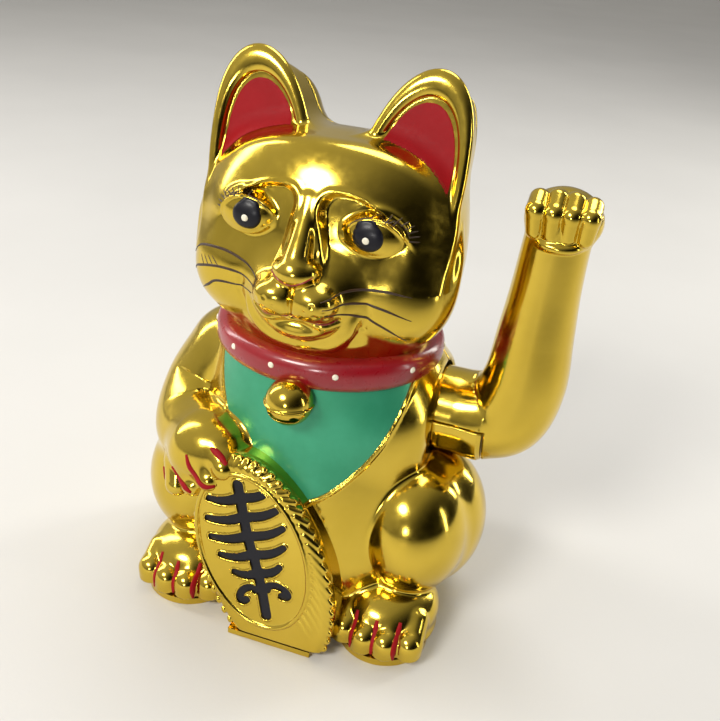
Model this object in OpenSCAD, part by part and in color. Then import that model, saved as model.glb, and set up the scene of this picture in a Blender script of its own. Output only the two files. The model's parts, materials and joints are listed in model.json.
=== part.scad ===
// Seated beckoning cat with a battery-driven waving arm.
// The cat faces -Y, its own left is +X, and the origin is the middle of the flat underside.
// Two thin moulded shells, front and rear, stand on a screwed base plate that carries the movement.

/* [Figure] */
// Wall thickness of the moulded shells
shell_wall = 1.8; // [1.4:0.1:2.4]
// Wall thickness of the hollow waving arm
arm_wall = 1.4; // [1:0.1:1.8]
// Plane where the front and rear shells meet, along Y
seam_y = 2; // [0:0.5:4]
// Radius of the bell on the collar
bell_r = 7.2; // [6:0.1:7.4]

/* [Waving arm] */
// Height of the arm's pivot axis
pivot_z = 68; // [67:0.5:69]
// Place of the pivot axis along Y
pivot_y = -2; // [-3:0.5:-1]
// Radius of the upper arm where it enters the shoulder opening
upper_arm_r = 13.5; // [12:0.5:13.5]
// Radius of the pivot shaft
shaft_r = 1.5; // [1:0.1:2]
// Radial running clearance of the shaft in its bushes
shaft_play = 0.06; // [0.03:0.01:0.09]

/* [Battery] */
// Diameter of the single cell
cell_d = 14.2; // [13.5:0.1:14.5]
// Length of the cell's can, without its raised terminal
cell_len = 49; // [48:0.5:49.5]

/* [Hidden] */
$fn = 48;
gold = "gold";
black_plastic = "#222222";
steel = "silver";
smooth = 28;        // facets round a sculpted form
inside = 20;        // facets round the unseen hollow

// Vertical stack
flange_t = 2.4;     // base plate's outer edge, which the shells stand on
floor_z = 3;        // top of the base plate inside the shells
shoulder_x = 37.5;  // plane of the shoulder opening
shoulder_floor = 44; // height where that plane starts
tall = 200;         // longer than anything that it cuts

// Base plate outline
base_half_w = 8;    // half the distance between the two large circles
base_r = 36.5;
foot_x = 34;
foot_y = -31;
screw_at = [[-33, -29], [33, -29], [-37, 9], [37, 9]];

// Movement
lever_x = 7;        // middle of the lever, magnet and coil
post_x = [-10.5, 23.5];
post_t = 3;
board_z = 6.6;
board_t = 1.6;
coil_z = board_z + board_t;
coil_h = 8.2;
magnet_z = 18.6;
weight_back = 0.7;  // sets the balance so that the arm hangs upright
frame_screw_at = [[-15, -10], [-15, 2], [28, -10], [28, 2]];

// Battery bay, switch
cell_y = 15;
cell_z = 9.2;
bay_half = [28, 7.8];
bay_top = 16.6;
bay_wall = 1;
door_half_w = 28.6;
door_front = cell_y - bay_half[1] - 1.5;
door_rear = 35.4;
switch_at = [-27, -8];

// ---- sculpted form, drawn once and used again with its skin taken in by t ----

module blob(centre, radii, t = 0, turn = [0, 0, 0])
    hull() translate(centre) rotate(turn)
        scale([for (r = radii) r - t]) sphere(1, $fn = t > 0 ? inside : smooth);

module chain(stations, t = 0)
    for (i = [0 : len(stations) - 2])
        hull() for (s = [stations[i], stations[i + 1]])
            translate([s[0], s[1], s[2]]) sphere(s[3] - t, $fn = t > 0 ? inside : smooth - 6);

module slab(z, cy, rx, ry, t)
    translate([0, cy, z]) scale([rx - t, ry - t, 1])
        cylinder(r = 1, h = 0.01, $fn = t > 0 ? 36 : 48);

module torso(t = 0)
    hull() {
        slab(flange_t - (t > 0 ? 1 : 0), -3, 45, 40, t);
        slab(25, -3, 48, 42, t);
        slab(50, -2.5, 44, 39, t);
        slab(70, -3.5, 39.5, 34.5, t);
        slab(84 - t / 2, -6.5, 34, 30, t);
    }

module neck(t = 0)
    hull() for (z = [78, 100])
        translate([0, -6.5, z]) scale([31 - t, 27 - t, 1])
            cylinder(r = 1, h = 1, $fn = t > 0 ? 30 : 44);

module shoulder(t = 0) blob([18, pivot_y, pivot_z - 1], [25, 30, 23], t);

// Torso with the left shoulder sliced flat for the waving arm
module trunk(t = 0)
    difference() {
        union() {
            torso(t);
            shoulder(t);
            neck(t);
        }
        translate([shoulder_x - t, -tall / 2, shoulder_floor - t]) cube([tall, tall, 60]);
    }

module head(t = 0)
    hull() {
        blob([0, -6, 134], [38, 28.5, 18], t);
        blob([0, -7.5, 119], [41, 29.5, 19], t);
        blob([0, -9, 105], [39, 28, 14], t);
    }

// Rim of an ear: X and Z run from the inner end, over the tip, to the outer end
ear_rim = [[10.8, -14.5, 150], [13.6, -12.5, 157], [18.6, -10.5, 164.8], [25, -9, 168.6],
           [30.6, -9, 166], [33.8, -9.5, 158.5], [34.6, -11, 147], [34.2, -12, 136.5]];

module ear(side)
    hull() {
        for (p = ear_rim) translate([side * p[0], p[1], p[2]]) sphere(3, $fn = 16);
        translate([side * 24, 2, 158]) sphere(7.5, $fn = 18);
        translate([side * 21.5, 11, 145]) sphere(8, $fn = 18);
    }

module ear_recess(side)
    hull() for (forward = [0, 14])
        for (p = [[14.2, -13.5, 150], [18.4, -11.5, 158.5], [24.8, -10, 163.2], [30, -10.3, 158.5],
                  [31.2, -12, 147], [31, -14, 139]])
            translate([side * p[0], p[1] - forward, p[2]]) sphere(1.6, $fn = 12);

module thigh(side, t = 0) blob([side * 38, -16, 33], [20, 23, 24], t);

module foot(side, t = 0)
    hull() {
        blob([side * foot_x, foot_y, 9], [15.8, 18, 10.5], t);
        translate([side * foot_x, foot_y, flange_t - (t > 0 ? 1 : 0)])
            scale([15.3 - t, 18.8 - t, 1]) cylinder(r = 1, h = 1, $fn = t > 0 ? inside : smooth);
    }

module toes(side)
    for (i = [-1.5 : 1.5])
        hull() for (back = [0, 8])
            translate([side * foot_x + i * 6, foot_y - 15.6 + back + 1.4 * abs(i), 6.2])
                scale([1, 1, 1.1]) sphere(4.2, $fn = 16);

// Right arm, moulded with the front shell: shoulder, elbow, wrist, and a paw on the coin
module resting_arm(t = 0)
    chain([[-33, -5, 73, 16], [-41, -10, 58, 15.5], [-38, -24, 50, 13], [-24, -37, 53, 10]], t);

module resting_fingers()
    for (i = [0 : 3])
        hull() {
            translate([-31 + 4.4 * i, -42 - 0.9 * i, 49.5 + 1.6 * i]) sphere(3.2, $fn = 16);
            translate([-27.5 + 4 * i, -47.4, 45 + 1.4 * i]) sphere(2.4, $fn = 16);
        }

// Oval coin leaning on the belly
module coin_frame()
    translate([-2, -47.4, 27]) rotate([-7, 0, 0]) rotate([90, 0, 0]) rotate([0, 0, 23]) children();

module coin(t = 0)
    coin_frame() {
        hull() translate([0, 0, t > 0 ? -9 : -6]) scale([20.5 - t, 37 - t, 1])
            cylinder(r = 1, h = (t > 0 ? 13 : 10) - t, $fn = t > 0 ? 32 : 52);
        if (t == 0) translate([0, 0, 4]) scale([0.56, 1, 1])
            rotate_extrude($fn = 52) translate([34.5, 0]) circle(2.2, $fn = 10);
    }

module collar()
    translate([0, -6.8, 88]) scale([1, 0.888, 1])
        rotate_extrude($fn = 44) translate([31.5, 0]) circle(4.5, $fn = 12);

module face()
    union() {
        detail = 14;
        hull() {
            translate([0, -30, 142]) sphere(4, $fn = detail);
            translate([0, -35.5, 128]) sphere(3, $fn = detail);
        }
        hull() {
            translate([0, -35.5, 128]) sphere(3, $fn = detail);
            for (side = [-1, 1]) translate([side * 2.4, -38, 121]) sphere(3.4, $fn = detail);
        }
        blob([0, -30, 100], [13, 7.5, 7]);
        for (side = [-1, 1]) {
            blob([side * 7.5, -33, 111], [9.5, 7.5, 7]);
            blob([side * 17.5, -29.6, 130.5], [9.5, 5.5, 6], 0, [0, side * 12, side * 14]);
            hull() {
                translate([side * 5, -32.5, 138]) sphere(2.6, $fn = detail);
                translate([side * 16, -32, 139.2]) sphere(2.4, $fn = detail);
            }
            hull() {
                translate([side * 16, -32, 139.2]) sphere(2.4, $fn = detail);
                translate([side * 28.5, -26, 135.5]) sphere(2, $fn = detail);
            }
        }
    }

module tail() chain([[14, 33, 6, 6], [26, 33, 12, 5.5], [34, 26, 22, 5], [36, 22, 31, 4.5]]);

// Everything above the base plate
module outer_form()
    intersection() {
        union() {
            trunk();
            for (side = [-1, 1]) {
                thigh(side);
                foot(side);
                toes(side);
                difference() {
                    ear(side);
                    ear_recess(side);
                }
            }
            resting_arm();
            resting_fingers();
            coin();
            collar();
            head();
            face();
            tail();
        }
        translate([-tall / 2, -tall / 2, flange_t]) cube(tall);
    }

module inner_form() {
    trunk(shell_wall);
    head(shell_wall);
    coin(shell_wall);
    resting_arm(shell_wall);
    for (side = [-1, 1]) {
        thigh(side, shell_wall);
        foot(side, shell_wall);
    }
}

// A post inside the shell for each base screw, growing down from the sculpted skin
module screw_post(at)
    intersection() {
        translate([at[0], at[1], floor_z]) {
            cylinder(r = 3.6, h = 26, $fn = 24);
            translate([at[0] > 0 ? 0 : -12, -0.9, 0]) cube([12, 1.8, 26]);
        }
        outer_form();
    }

module shell_half(front) {
    keep = front ? -tall : seam_y;
    difference() {
        union() {
            difference() {
                outer_form();
                inner_form();
            }
            for (at = screw_at) if ((at[1] < 0) == front) screw_post(at);
        }
        translate([-tall / 2, front ? seam_y : seam_y - tall, -10]) cube([tall, tall, tall + 20]);
        for (at = screw_at)
            translate([at[0], at[1], -1]) cylinder(r = 1.6, h = 13, $fn = 20);
        translate([shoulder_x - 8, pivot_y, pivot_z]) rotate([0, 90, 0])
            cylinder(r = upper_arm_r + 1.4, h = 30, $fn = 48);
        bell_seat();
    }
}

module front_shell() color(gold) shell_half(true);

module rear_shell() color(gold) shell_half(false);

// ---- bell ----

bell_at = [0, -39.6, 80.6];
bell_back = -37.2;  // flat back of the bell, against the bib
module bell_peg(r) translate([0, bell_back - 1, bell_at[2]]) rotate([-90, 0, 0]) cylinder(r = r, h = 4.6);

module bell_seat() {
    intersection() {
        translate(bell_at) sphere(bell_r + 0.15, $fn = 32);
        translate([-20, -80 + bell_back + 0.1, 60]) cube([40, 80, 40]);
    }
    bell_peg(1.7, $fn = 24);
}

module bell()
    color(gold) {
        difference() {
            translate(bell_at) rotate([90, 0, 0]) rotate_extrude() intersection() {
                circle(bell_r);
                translate([0, bell_at[1] - bell_back]) square(2 * bell_r);
            }
            translate([0, bell_at[1] - bell_r, bell_at[2] - 3.2]) cube([7, 5, 0.8], center = true);
            for (side = [-1, 1])
                translate([side * 3.2, bell_at[1], bell_at[2] - 1.6]) rotate([90, 0, 0])
                    cylinder(r = 0.9, h = 10);
        }
        bell_peg(1.5);
    }

// ---- waving arm: a hollow moulding, its under cover, and the hub glued inside ----

arm_root_x = 31;
cover_end_x = 53;
cover_top_z = pivot_z + 2;
arm_path = [[54, -3, 68, 14], [58.3, -3, 74, 12.8], [60.8, -3, 95, 11.5],
            [62.4, -4, 114, 10], [63, -5, 127, 9.3], [63.8, -5.5, 134.5, 9.3]];

module upper_arm(r) translate([arm_root_x - (r < upper_arm_r ? 1 : 0), pivot_y, pivot_z])
    rotate([0, 90, 0]) cylinder(r = r, h = cover_end_x - arm_root_x + 2, $fn = 40);

module raised_fingers()
    for (i = [-1.5 : 1.5])
        hull() {
            translate([63.9 + 4.9 * i, -9.5 + 0.4 * abs(i), 140 - 0.8 * abs(i)]) sphere(3.7, $fn = 16);
            translate([63.9 + 4.6 * i, -13.8, 132]) sphere(2.9, $fn = 16);
        }

module arm_skin()
    difference() {
        union() {
            upper_arm(upper_arm_r);
            chain(arm_path);
            raised_fingers();
        }
        upper_arm(upper_arm_r - arm_wall);
        chain(arm_path, arm_wall);
    }

module cover_zone(gap)
    translate([0, pivot_y - 30, 30]) cube([cover_end_x - gap, 60, cover_top_z - gap - 30]);

module arm_shell() color(gold) difference() {
    arm_skin();
    cover_zone(0);
}

module arm_under_cover() color(gold) intersection() {
    arm_skin();
    cover_zone(0.1);
}

module on_pivot(x) translate([x, pivot_y, pivot_z]) rotate([0, 90, 0]) children();

module arm_hub() color(black_plastic) difference() {
    union() {
        on_pivot(34) cylinder(r = upper_arm_r - arm_wall - 0.15, h = 3);
        on_pivot(29) cylinder(r = 4, h = 20);
    }
    on_pivot(28) cylinder(r = shaft_r + 0.01, h = 22);
}

module pivot_shaft() color(steel) on_pivot(-15) cylinder(r = shaft_r, h = 64);

// ---- pendulum under the shaft ----

module pendulum_lever() color(black_plastic) difference() {
    union() {
        on_pivot(lever_x - 4) cylinder(r = 4.6, h = 8);
        translate([lever_x - 1.5, pivot_y - 4, magnet_z + 4.6]) cube([3, 8, pivot_z - magnet_z - 4.6]);
        translate([lever_x, pivot_y, magnet_z + 0.8]) cylinder(r = 7.4, h = 5);
    }
    on_pivot(lever_x - 5) cylinder(r = shaft_r + 0.01, h = 10);
    translate([lever_x, pivot_y, magnet_z - 1]) cylinder(r = 6.05, h = 5.05);
}

module pendulum_weight() color(steel)
    for (side = [-1, 1])
        translate([lever_x + side * 5.1 - 3.5, pivot_y + weight_back - 8, 30]) cube([7, 16, 16]);

module pendulum_magnet() color("dimgray")
    translate([lever_x, pivot_y, magnet_z]) cylinder(r = 6, h = 4);

// ---- fixed part of the movement ----

module movement_frame() color(black_plastic) difference() {
    union() {
        translate([-19, -18, floor_z]) cube([51, 23.4, 2.4]);
        for (x = post_x) {
            translate([x - post_t / 2, pivot_y - 7, floor_z + 1]) cube([post_t, 12, pivot_z - floor_z - 1]);
            on_pivot(x - post_t / 2) cylinder(r = 7, h = post_t);
        }
        for (x = [-6.5, 19.5], y = [-14, 2.5])
            translate([x, y, floor_z + 1]) cylinder(r = 2.4, h = board_z - floor_z - 1);
    }
    for (x = post_x) on_pivot(x - 3) cylinder(r = 3, h = 6);
    for (at = frame_screw_at) translate([at[0], at[1], floor_z - 1]) cylinder(r = 1.25, h = 6);
}

module bearing_bushes() color("goldenrod") difference() {
    for (i = [0, 1]) {
        outward = i == 0 ? -1 : 1;
        on_pivot(post_x[i] - post_t / 2) cylinder(r = 3, h = post_t);
        on_pivot(post_x[i] + outward * (post_t / 2 + 0.4) - 0.4) cylinder(r = 4.2, h = 0.8);
    }
    on_pivot(-30) cylinder(r = shaft_r + shaft_play, h = 80);
}

module on_coil(z) translate([lever_x, pivot_y, z]) children();

module coil_bobbin() color("ivory") difference() {
    union() {
        on_coil(coil_z) cylinder(r = 7.3, h = 1);
        on_coil(coil_z) cylinder(r = 3.6, h = coil_h);
        on_coil(coil_z + coil_h - 1) cylinder(r = 7.3, h = 1);
    }
    on_coil(coil_z + 1) cylinder(r = 1.4, h = coil_h);
}

module coil_winding() color("chocolate")
    on_coil(coil_z + 1) rotate_extrude() translate([3.6, 0]) square([3.2, coil_h - 2]);

module circuit_board() color("darkgreen") difference() {
    translate([-8.6, -17, board_z]) cube([30.2, 22, board_t]);
    for (x = [-6.5, 19.5], y = [-14, 2.5])
        translate([x, y, board_z - 1]) cylinder(r = 1.1, h = board_t + 2);
}

module circuit_components() {
    top = board_z + board_t;
    color(black_plastic) translate([-4, -6, top]) intersection() {
        cylinder(r = 2.4, h = 4.6);
        translate([-3, -1.6, 0]) cube([6, 5, 5]);
    }
    color("royalblue") translate([-3.8, 1.8, top]) cylinder(r = 2.5, h = 6.4);
    color("burlywood") translate([2, -14.4, top + 1.1]) rotate([0, 90, 0]) cylinder(r = 1.1, h = 6.5);
    color("burlywood") translate([11, -14.4, top + 1.1]) rotate([0, 90, 0]) cylinder(r = 1.1, h = 5);
}

// ---- base plate with the battery bay ----

module base_outline(inset = 0) {
    for (side = [-1, 1]) {
        translate([side * base_half_w, -2]) circle(base_r - inset);
        translate([side * foot_x, foot_y - 4]) circle(14.4 - inset);
    }
    translate([-base_half_w, -2 - base_r + inset]) square([2 * base_half_w, 2 * (base_r - inset)]);
}

module coin_lip() translate([-11.5, -54.5]) square([27.5, 22]);

module base_plate() color(gold) difference() {
    union() {
        linear_extrude(flange_t) base_outline();
        linear_extrude(flange_t - 0.4) coin_lip();
        translate([0, 0, flange_t]) linear_extrude(floor_z - flange_t) base_outline(4.4);
        translate([-bay_half[0] - bay_wall, cell_y - bay_half[1] - bay_wall, flange_t])
            cube([2 * (bay_half[0] + bay_wall), 2 * (bay_half[1] + bay_wall),
                  bay_top + bay_wall - flange_t]);
    }
    translate([-bay_half[0], cell_y - bay_half[1], -1])
        cube([2 * bay_half[0], 2 * bay_half[1], bay_top + 1]);
    for (side = [-1, 1])
        translate([side * (bay_half[0] + bay_wall / 2) - 1, cell_y - 0.9, cell_z - 0.9])
            cube([2, 1.8, 1.8]);
    // recess that the door slides in, open to the rear, with a groove along each side
    translate([-door_half_w - 0.2, door_front - 0.2, -1]) cube([2 * door_half_w + 0.4, 60, 2.65]);
    translate([-door_half_w - 1.4, door_front - 0.2, 0.75]) cube([2 * door_half_w + 2.8, 60, 0.9]);
    for (at = screw_at) {
        translate([at[0], at[1], -1]) cylinder(r = 1.6, h = 6);
        translate([at[0], at[1], -1]) cylinder(r = 3, h = 2.2);
    }
    for (at = frame_screw_at) translate([at[0], at[1], 1]) cylinder(r = 1.05, h = 4);
    translate([switch_at[0] - 4, switch_at[1] - 2, -1]) cube([8, 4, 6]);
}

module screw(head_r, head_h, shank_r, length) difference() {
    union() {
        cylinder(r = head_r, h = head_h);
        cylinder(r = shank_r, h = length);
    }
    for (a = [0, 90])
        rotate(a) translate([-head_r * 0.6, -0.35, -0.01]) cube([head_r * 1.2, 0.7, head_h * 0.6]);
}

module base_screws() color(steel)
    for (at = screw_at) translate([at[0], at[1], 0.2]) screw(2.7, 1, 1.4, 11);

module frame_screws() color(steel)
    for (at = frame_screw_at)
        translate([at[0], at[1], floor_z + 3.6]) rotate([180, 0, 0]) screw(2, 1.2, 1, 5.2);

module battery_door() color(black_plastic) difference() {
    union() {
        translate([-door_half_w, door_front, 0.15]) cube([2 * door_half_w, door_rear - door_front, 1.35]);
        translate([-door_half_w - 1.1, door_front, 0.9]) cube([2 * door_half_w + 2.2, 18, 0.6]);
    }
    for (i = [0 : 4]) translate([-8, door_front + 3 + 1.8 * i, -0.4]) cube([16, 0.8, 1]);
    difference() {
        translate([-40, 20, -1]) cube([80, 40, 4]);
        translate([0, 0, -2]) linear_extrude(6) base_outline(0.2);
    }
}

// ---- battery and its contacts ----

module battery_cell() {
    color("dimgray") translate([-cell_len / 2, cell_y, cell_z]) rotate([0, 90, 0])
        cylinder(d = cell_d, h = cell_len);
    color(steel) translate([cell_len / 2, cell_y, cell_z]) rotate([0, 90, 0])
        cylinder(r = 2.6, h = 1.2);
}

// A tube of round section swept along a list of points
function unit(v) = v / norm(v);
function along(p, i) = unit(p[min(i + 1, len(p) - 1)] - p[max(i - 1, 0)]);
function side_of(d) = unit(cross(d, abs(d[2]) < 0.9 ? [0, 0, 1] : [1, 0, 0]));
module tube(points, r, sides = 8) {
    n = len(points);
    rings = [for (i = [0 : n - 1]) let (d = along(points, i), u = side_of(d), v = cross(d, u))
        for (k = [0 : sides - 1]) points[i] + r * (cos(360 * k / sides) * u + sin(360 * k / sides) * v)];
    walls = [for (i = [0 : n - 2], k = [0 : sides - 1]) let (a = i * sides, b = (k + 1) % sides)
        each [[a + k, a + sides + b, a + b], [a + k, a + sides + k, a + sides + b]]];
    start = [for (k = [1 : sides - 2]) [0, k, k + 1]];
    end = [for (k = [1 : sides - 2]) let (a = (n - 1) * sides) [a, a + k + 1, a + k]];
    polyhedron(rings, concat(start, walls, end), convexity = 6);
}

spring_turns = 3.5;
spring_steps = 42;
module battery_spring() color(steel) {
    translate([-bay_half[0], cell_y - 6, cell_z - 6]) cube([0.4, 12, 12]);
    tube([for (i = [0 : spring_steps]) let (u = i / spring_steps, a = 360 * spring_turns * u)
        [-bay_half[0] + 0.6 + (bay_half[0] - cell_len / 2 - 1.1) * u,
         cell_y + (4.6 - 1.6 * u) * cos(a), cell_z + (4.6 - 1.6 * u) * sin(a)]], 0.4, 6);
}

module battery_contact() color(steel) {
    translate([bay_half[0] - 0.5, cell_y - 5, cell_z - 6]) cube([0.5, 10, 12]);
    translate([cell_len / 2 + 1.25, cell_y, cell_z]) rotate([0, 90, 0])
        cylinder(r = 2, h = bay_half[0] - 0.5 - cell_len / 2 - 1.25);
}

// ---- slide switch, reached through the base plate ----

module switch_housing() color(black_plastic) difference() {
    translate([switch_at[0] - 6.5, switch_at[1] - 3.2, floor_z]) cube([13, 6.4, 5]);
    translate([switch_at[0] - 4.2, switch_at[1] - 2.2, floor_z - 1]) cube([8.4, 4.4, 4.2]);
}

module switch_slider() color("white") {
    translate([switch_at[0] - 3.9, switch_at[1] - 1.7, 0.4]) cube([3.4, 3.4, 3.4]);
    translate([switch_at[0] - 4, switch_at[1] - 2, floor_z + 0.2]) cube([5, 4, 2.6]);
}

// ---- wires, each a short soft lead clipped between two joints ----

wire_r = 0.7;
// From the positive contact, round the bay and behind the bearing post, to the board
battery_wire_route = [[28.05, 15, 9.2], [31, 15, 9.3], [31.9, 13.8, 9.7], [32, 11, 10], [31.8, 8, 10],
                      [30.6, 5.4, 9.9], [28.4, 4.5, 9.8], [25, 4.5, 9.8], [21, 4.5, 9.8], [18.4, 4, 9.9],
                      [17, 3.8, 9.7], [16.5, 3.8, 9.1], [16.5, 3.8, 8.3]];
// From the spring to the switch
switch_wire_route = [[-28.05, 15, 9.2], [-31, 15, 9.3], [-32, 13.6, 9.8], [-32.2, 10, 10], [-31.8, 4, 10],
                     [-31.4, -2, 10], [-31.2, -6, 10], [-31, -7.6, 9.6], [-31, -8, 8.9], [-31, -8, 8.1]];
// From the switch to the board
board_wire_route = [[-23, -8, 8.1], [-23, -8, 9.2], [-22, -9.6, 10.6], [-19, -11.4, 11.2],
                    [-14, -12.4, 11.2], [-9, -12.6, 10.8], [-6, -12.2, 10], [-5, -12, 9.1], [-5, -12, 8.3]];

module battery_wire() color("red") tube(battery_wire_route, wire_r);
module switch_wire() color(black_plastic) tube(switch_wire_route, wire_r);
module board_wire() color(black_plastic) tube(board_wire_route, wire_r);

front_shell();
rear_shell();
bell();
arm_shell();
arm_under_cover();
arm_hub();
pivot_shaft();
pendulum_lever();
pendulum_weight();
pendulum_magnet();
movement_frame();
bearing_bushes();
coil_bobbin();
coil_winding();
circuit_board();
circuit_components();
base_plate();
base_screws();
frame_screws();
battery_door();
battery_cell();
battery_spring();
battery_contact();
switch_housing();
switch_slider();
battery_wire();
switch_wire();
board_wire();
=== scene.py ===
"""Looks of the seated gold beckoning cat.

The figurine is sculpted as signed-distance clay: shapes are joined and cut with soft
blends, the surface is meshed on a fine grid and then drawn onto the exact form.
The clay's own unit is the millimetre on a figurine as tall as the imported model.
"""

import json
from math import cos, pi, radians, sin

import bpy
import numpy as np
from mathutils import Euler, Matrix, Vector


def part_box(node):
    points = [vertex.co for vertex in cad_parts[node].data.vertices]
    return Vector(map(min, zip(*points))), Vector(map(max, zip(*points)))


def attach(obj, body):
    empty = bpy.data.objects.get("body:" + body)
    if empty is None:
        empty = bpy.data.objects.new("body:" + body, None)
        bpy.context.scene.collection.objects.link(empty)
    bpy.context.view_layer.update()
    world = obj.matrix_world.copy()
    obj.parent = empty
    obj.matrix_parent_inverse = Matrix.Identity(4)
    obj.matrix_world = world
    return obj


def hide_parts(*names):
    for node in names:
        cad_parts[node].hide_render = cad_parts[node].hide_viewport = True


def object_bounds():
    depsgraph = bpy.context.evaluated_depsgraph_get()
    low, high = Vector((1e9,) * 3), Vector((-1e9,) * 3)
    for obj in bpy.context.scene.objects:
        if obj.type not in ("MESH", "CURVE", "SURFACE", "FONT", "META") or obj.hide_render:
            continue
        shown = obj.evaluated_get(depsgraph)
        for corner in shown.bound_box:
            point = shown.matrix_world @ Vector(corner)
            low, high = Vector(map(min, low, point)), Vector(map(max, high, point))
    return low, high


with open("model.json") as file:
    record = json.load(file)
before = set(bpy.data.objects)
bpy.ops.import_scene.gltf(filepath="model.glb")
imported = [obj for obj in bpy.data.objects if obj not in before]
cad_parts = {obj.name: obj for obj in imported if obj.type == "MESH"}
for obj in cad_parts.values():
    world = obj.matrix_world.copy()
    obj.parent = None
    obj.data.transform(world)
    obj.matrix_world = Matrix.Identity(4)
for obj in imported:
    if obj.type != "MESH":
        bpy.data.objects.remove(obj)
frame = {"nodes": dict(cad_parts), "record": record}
cad_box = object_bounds()

# ---- sizes from the frame ----

SCULPT_TALL = 171.54                       # height that the clay numbers are written for
MM = (cad_box[1].z - cad_box[0].z) / SCULPT_TALL
joints = {joint["name"]: joint for joint in frame["record"]["behaviour"]["joints"]}
PIVOT_Y, PIVOT_Z = (joints["arm_swing"]["pos_m"][i] / MM for i in (1, 2))
SEAM_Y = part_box("rear_shell")[0].y / MM
SKIN_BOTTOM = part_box("front_shell")[0].z / MM
BELL_LOW, BELL_HIGH = (np.array(corner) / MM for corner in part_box("bell"))
BELL_R = (BELL_HIGH[0] - BELL_LOW[0]) / 2
BELL_AT = ((BELL_LOW + BELL_HIGH) / 2 * (1, 0, 1)) + (0, BELL_LOW[1] + BELL_R, 0)
COVER_END_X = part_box("arm_under_cover")[1].x / MM
COVER_TOP_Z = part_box("arm_under_cover")[1].z / MM
ARM_ROOT_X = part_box("arm_shell")[0].x / MM
SHOULDER_X = 37.5                          # plane of the shoulder opening
SHOULDER_FLOOR = 44                        # the body is cut away beside the arm above this
SOCKET_R, SOCKET_DEEP = 14.9, 8            # the shoulder opening's radius and depth
NECK_Z = 88                                # the head and body meshes meet inside the collar
COARSE = 1.0        # coarser clay for trial renders

# ---- clay ----


def soft_min(a, b, k):
    h = np.clip(0.5 + 0.5 * (b - a) / k, 0, 1)
    return b + (a - b) * h - k * h * (1 - h)


def soft_max(a, b, k):
    return -soft_min(-a, -b, k)


def turned(degrees):
    return np.array(Euler([radians(d) for d in degrees]).to_matrix())


def egg(centre, radii, turn=None):
    """An ellipsoid."""
    centre = np.array(centre, float)[:, None]
    radii = np.array(radii, float)[:, None]
    back = turned(turn).T if turn else None

    def distance(p):
        q = p - centre
        if back is not None:
            q = back @ q
        q = q / radii
        near = np.sqrt((q * q).sum(0))
        q = q / radii
        steep = np.sqrt((q * q).sum(0))
        return near * (near - 1) / np.maximum(steep, 1e-6)

    return distance, centre, radii.max()


def rod(a, ra, b, rb):
    """A round rod from a to b whose radius runs from ra to rb."""
    a = np.array(a, float)[:, None]
    b = np.array(b, float)[:, None]
    way = b - a
    length = np.sqrt((way * way).sum())

    def distance(p):
        t = np.clip(((p - a) * way).sum(0) / length ** 2, 0, 1)
        q = p - a - way * t
        return np.sqrt((q * q).sum(0)) - (ra + (rb - ra) * t)

    return distance, (a + b) / 2, length / 2 + max(ra, rb)


def spread(points):
    """Control points with one more at each end, for a Catmull-Rom curve."""
    points = np.array(points, float)
    return np.concatenate([[2 * points[0] - points[1]], points, [2 * points[-1] - points[-2]]])


def on_curve(padded, t):
    """Places, rates of change and bends along a Catmull-Rom curve at the parameters t."""
    i = np.clip(t.astype(int), 0, len(padded) - 4)
    u = (t - i)[:, None]
    a, b, c, d = (padded[i + n] for n in range(4))
    two, three = 2 * a - 5 * b + 4 * c - d, 3 * b - a - 3 * c + d
    place = 0.5 * (2 * b + u * (c - a + u * (two + u * three)))
    rate = 0.5 * (c - a + u * (2 * two + 3 * u * three))
    return place, rate, two + 3 * u * three


def limb(stations):
    """A smooth limb: a round section that follows a curve; stations are (x, y, z, radius)."""
    padded = spread(stations)
    last = len(stations) - 1
    first_try = np.linspace(0, last, 4 * last + 1)
    samples = on_curve(padded, first_try)[0]
    low, high = samples[:, :3].min(0), samples[:, :3].max(0)

    def distance(p):
        gap = np.stack([((p.T - place[:3]) ** 2).sum(1) for place in samples])
        t = first_try[gap.argmin(0)]
        for _ in range(3):
            place, rate, bend = (value[:, :3] for value in on_curve(padded, t))
            gap = p.T - place
            pace = (rate ** 2).sum(1)
            pace = np.maximum(pace - (gap * bend).sum(1), 0.35 * pace)
            t = np.clip(t + (gap * rate).sum(1) / pace, 0, last)
        place = on_curve(padded, t)[0]
        return np.sqrt(((p.T - place[:, :3]) ** 2).sum(1)) - place[:, 3]

    reach = (high - low).max() / 2 + samples[:, 3].max()
    return distance, ((low + high) / 2)[:, None], reach


def tube_x(y, z, r, x0, x1):
    """A cylinder along X."""
    def distance(p):
        side = np.hypot(p[1] - y, p[2] - z) - r
        end = np.maximum(x0 - p[0], p[0] - x1)
        return np.maximum(side, end)

    middle = np.array([[(x0 + x1) / 2], [y], [z]])
    return distance, middle, max(r, (x1 - x0) / 2)


REACH = 5.5                                # how far outside a shape the clay still looks


class Clay:
    """Distances of many points to a growing form. Each shape works only on points near it."""

    def __init__(self, p, start, mirrored=False):
        self.p = np.stack([np.abs(p[0]), p[1], p[2]]) if mirrored else p
        self.d = start(self.p)

    def _near(self, shape, k):
        middle, reach = shape[1], shape[2] + k + REACH
        return np.nonzero((np.abs(self.p - middle) < reach).all(0))[0]

    def join(self, shape, k=1.5):
        i = self._near(shape, k)
        self.d[i] = soft_min(self.d[i], shape[0](self.p[:, i]), k)

    def cut(self, shape, k=1.0):
        i = self._near(shape, k)
        self.d[i] = soft_max(self.d[i], -shape[0](self.p[:, i]), k)


def slope(field, p, h=0.06):
    """The field's value and gradient at p, from four points round each."""
    corners = np.array([[1, -1, -1], [-1, -1, 1], [-1, 1, -1], [1, 1, 1]], float)
    value = 0
    gradient = np.zeros_like(p)
    for corner in corners:
        d = field(p + h * corner[:, None])
        value = value + d / 4
        gradient += corner[:, None] * d / (4 * h)
    return value, gradient


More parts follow.
